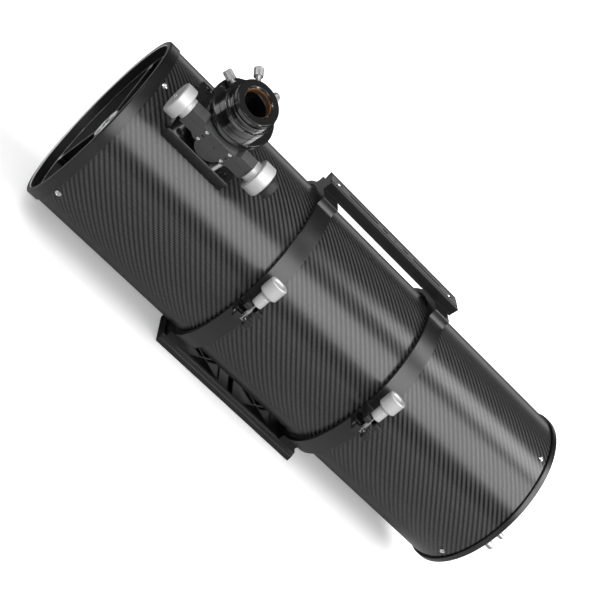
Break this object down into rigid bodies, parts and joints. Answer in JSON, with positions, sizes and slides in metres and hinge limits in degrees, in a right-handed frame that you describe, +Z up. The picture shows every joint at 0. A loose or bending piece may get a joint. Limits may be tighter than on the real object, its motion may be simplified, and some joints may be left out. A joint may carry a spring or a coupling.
{
  "type": "newtonian telescope tube assembly",
  "caption": "Short-tube Newtonian reflector telescope: carbon tube in hinged rings, dovetail plate below, slotted bar above and a dual-speed side focuser.",
  "frame": {"origin": "middle of the dovetail plate's flat underside", "axes": "+X along the tube from the open front towards the main mirror, +Z up from the plate to the accessory bar; the clamp knobs are on the -Y side and the ring hinges on +Y"},
  "size_m": [0.694, 0.2846, 0.3319],
  "materials": {
    "carbon_tube": "twill-woven carbon fibre under a satin clear coat",
    "black_anodised": "satin black anodised, machined edges",
    "satin_black": "satin black powder coat",
    "grey_anodised": "dark grey bead-blasted anodised",
    "silver_anodised": "silver anodised, fine knurled rim",
    "chrome_screw": "polished cross-head screws",
    "steel": "turned steel",
    "brass_ring": "dull brass spring ring",
    "felt": "black felt liner",
    "mirror_coating": "aluminised glass"
  },
  "bodies": {
    "cradle": {"dovetail_plate": "black_anodised", "ring_lower_front": "black_anodised", "ring_lower_rear": "black_anodised", "felt_lower_front": "felt", "felt_lower_rear": "felt", "hinge_pin_front": "steel", "hinge_pin_rear": "steel"},
    "ring_tops": {"ring_upper_front": "black_anodised", "ring_upper_rear": "black_anodised", "felt_upper_front": "felt", "felt_upper_rear": "felt", "accessory_bar": "black_anodised"},
    "clamp_bolt_front": {"clamp_bolt_front": "steel"},
    "clamp_bolt_rear": {"clamp_bolt_rear": "steel"},
    "clamp_knob_front": {"clamp_knob_front": "silver_anodised"},
    "clamp_knob_rear": {"clamp_knob_rear": "silver_anodised"},
    "tube": {"main_tube": "carbon_tube", "front_end_ring": "black_anodised", "rear_end_ring": "black_anodised", "spider_vane_1": "black_anodised", "spider_vane_2": "black_anodised", "spider_vane_3": "black_anodised", "spider_vane_4": "black_anodised", "spider_screw_1": "chrome_screw", "spider_screw_2": "chrome_screw", "spider_screw_3": "chrome_screw", "spider_screw_4": "chrome_screw", "spider_hub": "satin_black", "secondary_centre_bolt": "steel", "cell_frame": "black_anodised", "focuser_base": "black_anodised", "focuser_shaft_housing": "grey_anodised"},
    "secondary": {"secondary_holder": "black_anodised", "secondary_mirror": "mirror_coating"},
    "primary_cell": {"primary_mirror": "mirror_coating", "mirror_cell": "satin_black", "mirror_clip_1": "satin_black", "mirror_clip_2": "satin_black", "mirror_clip_3": "satin_black"},
    "focus_drawtube": {"drawtube": "black_anodised", "drawtube_flange": "black_anodised", "eyepiece_collar": "black_anodised"},
    "eyepiece_adapter": {"eyepiece_adapter": "black_anodised", "compression_ring": "brass_ring"},
    "adapter_thumbscrew": {"adapter_thumbscrew": "silver_anodised"},
    "focus_shaft": {"focus_shaft": "steel", "coarse_knob_front": "silver_anodised", "coarse_knob_rear": "silver_anodised"},
    "fine_focus_knob": {"fine_focus_knob": "satin_black"},
    "collar_thumbscrew_1": {"collar_thumbscrew_1": "silver_anodised"},
    "collar_thumbscrew_2": {"collar_thumbscrew_2": "silver_anodised"},
    "secondary_adjuster_1": {"secondary_adjuster_1": "steel"},
    "collimation_knob_1": {"collimation_knob_1": "silver_anodised"},
    "lock_screw_1": {"lock_screw_1": "steel"},
    "secondary_adjuster_2": {"secondary_adjuster_2": "steel"},
    "collimation_knob_2": {"collimation_knob_2": "silver_anodised"},
    "lock_screw_2": {"lock_screw_2": "steel"},
    "secondary_adjuster_3": {"secondary_adjuster_3": "steel"},
    "collimation_knob_3": {"collimation_knob_3": "silver_anodised"},
    "lock_screw_3": {"lock_screw_3": "steel"}
  },
  "joints": [
    {"name": "ring_tops_open", "type": "hinge", "parent": "cradle", "child": "ring_tops", "pos_m": [0, 0.128, 0.141], "axis": [-1, 0, 0], "range_deg": [0, 110]},
    {"name": "clamp_bolt_front_swing", "type": "hinge", "parent": "ring_tops", "child": "clamp_bolt_front", "pos_m": [-0.0977, -0.1395, 0.1335], "axis": [1, 0, 0], "range_deg": [0, 85]},
    {"name": "clamp_knob_front_turn", "type": "hinge", "parent": "clamp_bolt_front", "child": "clamp_knob_front", "pos_m": [-0.0977, -0.1395, 0.17], "axis": [0, 0, 1], "continuous": true},
    {"name": "clamp_bolt_rear_swing", "type": "hinge", "parent": "ring_tops", "child": "clamp_bolt_rear", "pos_m": [0.0947, -0.1395, 0.1335], "axis": [1, 0, 0], "range_deg": [0, 85]},
    {"name": "clamp_knob_rear_turn", "type": "hinge", "parent": "clamp_bolt_rear", "child": "clamp_knob_rear", "pos_m": [0.0947, -0.1395, 0.17], "axis": [0, 0, 1], "continuous": true},
    {"name": "tube_roll", "type": "hinge", "parent": "cradle", "child": "tube", "pos_m": [0, 0, 0.141], "axis": [1, 0, 0], "continuous": true},
    {"name": "focus_travel", "type": "slide", "parent": "tube", "child": "focus_drawtube", "axis": [0, -0.5534, 0.8329], "range_m": [0, 0.035]},
    {"name": "focus_shaft_turn", "type": "hinge", "parent": "tube", "child": "focus_shaft", "pos_m": [-0.2545, -0.11603, 0.2524], "axis": [1, 0, 0], "range_deg": [0, 670]},
    {"name": "fine_focus_turn", "type": "hinge", "parent": "tube", "child": "fine_focus_knob", "pos_m": [-0.182, -0.11603, 0.2524], "axis": [1, 0, 0], "range_deg": [0, 6700]},
    {"name": "collar_thumbscrew_1_turn", "type": "hinge", "parent": "focus_drawtube", "child": "collar_thumbscrew_1", "pos_m": [-0.29146, -0.08852, 0.3019], "axis": [-0.9239, 0.3187, 0.2118], "continuous": true},
    {"name": "collar_thumbscrew_2_turn", "type": "hinge", "parent": "focus_drawtube", "child": "collar_thumbscrew_2", "pos_m": [-0.23919, -0.07049, 0.31388], "axis": [0.3827, 0.7695, 0.5113], "continuous": true},
    {"name": "eyepiece_adapter_turn", "type": "hinge", "parent": "focus_drawtube", "child": "eyepiece_adapter", "pos_m": [-0.2545, -0.10514, 0.29925], "axis": [0, -0.5534, 0.8329], "continuous": true},
    {"name": "adapter_thumbscrew_turn", "type": "hinge", "parent": "eyepiece_adapter", "child": "adapter_thumbscrew", "pos_m": [-0.27084, -0.08285, 0.32367], "axis": [-0.454, 0.7421, 0.4931], "continuous": true},
    {"name": "secondary_turn", "type": "hinge", "parent": "tube", "child": "secondary", "pos_m": [-0.291, 0, 0.141], "axis": [1, 0, 0], "continuous": true},
    {"name": "secondary_adjuster_1_turn", "type": "hinge", "parent": "tube", "child": "secondary_adjuster_1", "pos_m": [-0.326, -0.00719, 0.15183], "axis": [1, 0, 0], "continuous": true},
    {"name": "secondary_adjuster_2_turn", "type": "hinge", "parent": "tube", "child": "secondary_adjuster_2", "pos_m": [-0.326, -0.00578, 0.12936], "axis": [1, 0, 0], "continuous": true},
    {"name": "secondary_adjuster_3_turn", "type": "hinge", "parent": "tube", "child": "secondary_adjuster_3", "pos_m": [-0.326, 0.01297, 0.14182], "axis": [1, 0, 0], "continuous": true},
    {"name": "primary_cell_tilt", "type": "hinge", "parent": "tube", "child": "primary_cell", "pos_m": [0.289, 0, 0.141], "axis": [0, 0.8329, 0.5534], "range_deg": [-0.5, 0.5]},
    {"name": "collimation_knob_1_turn", "type": "hinge", "parent": "tube", "child": "collimation_knob_1", "pos_m": [0.324, -0.08783, 0.12137], "axis": [1, 0, 0], "continuous": true},
    {"name": "lock_screw_1_turn", "type": "hinge", "parent": "tube", "child": "lock_screw_1", "pos_m": [0.324, -0.09, 0.14006], "axis": [1, 0, 0], "continuous": true},
    {"name": "collimation_knob_2_turn", "type": "hinge", "parent": "tube", "child": "collimation_knob_2", "pos_m": [0.324, 0.02691, 0.22688], "axis": [1, 0, 0], "continuous": true},
    {"name": "lock_screw_2_turn", "type": "hinge", "parent": "tube", "child": "lock_screw_2", "pos_m": [0.324, 0.04418, 0.21941], "axis": [1, 0, 0], "continuous": true},
    {"name": "collimation_knob_3_turn", "type": "hinge", "parent": "tube", "child": "collimation_knob_3", "pos_m": [0.324, 0.06092, 0.07475], "axis": [1, 0, 0], "continuous": true},
    {"name": "lock_screw_3_turn", "type": "hinge", "parent": "tube", "child": "lock_screw_3", "pos_m": [0.324, 0.04581, 0.06353], "axis": [1, 0, 0], "continuous": true}
  ],
  "couplings": [
    {"joint": "focus_shaft_turn", "follows": "focus_travel", "rad_per_m": 333.33},
    {"joint": "fine_focus_turn", "follows": "focus_travel", "rad_per_m": 3333.3}
  ]
}
